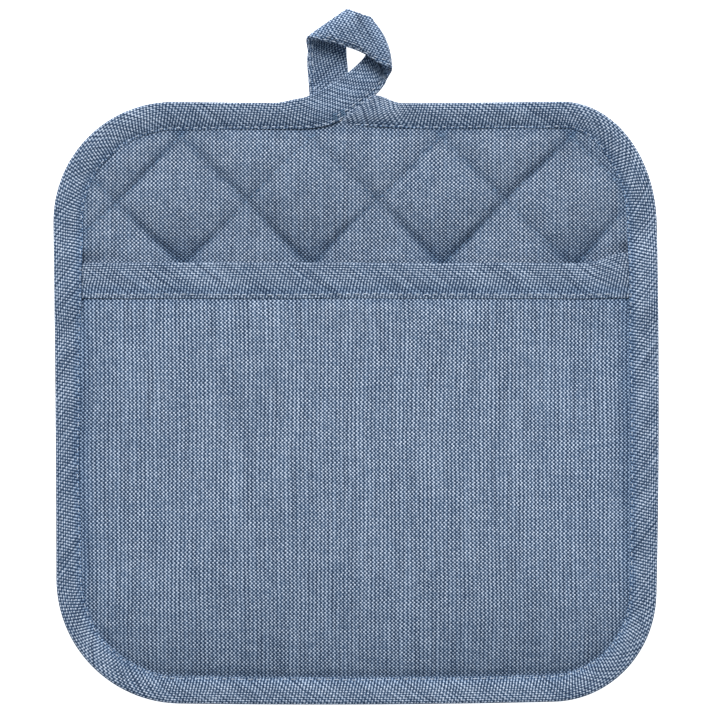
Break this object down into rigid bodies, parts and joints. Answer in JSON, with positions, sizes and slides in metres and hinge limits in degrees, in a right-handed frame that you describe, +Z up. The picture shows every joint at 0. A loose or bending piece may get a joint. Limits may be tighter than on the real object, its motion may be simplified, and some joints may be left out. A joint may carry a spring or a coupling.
{
  "type": "pocket pot holder",
  "caption": "Square quilted pot holder with rounded corners, a hand pocket over its lower two thirds, a bound edge and a folded hanging loop, lying on its back.",
  "frame": {"origin": "under the middle of the whole outline, on the surface that the pot holder lies on", "axes": "+Z up off that surface, +Y towards the hanging loop, +X to the right as the pocket is seen with the loop at the top"},
  "size_m": [0.2033, 0.2332, 0.0148],
  "materials": {
    "quilted_chambray": "blue chambray cotton, quilted",
    "pocket_chambray": "blue chambray cotton, plain weave",
    "bias_tape": "blue chambray cotton, cut on the bias and folded"
  },
  "bodies": {
    "root": {"quilted_pad": "quilted_chambray", "pocket_panel": "pocket_chambray", "pocket_binding": "bias_tape", "edge_binding": "bias_tape", "hanging_loop": "bias_tape"}
  },
  "joints": []
}
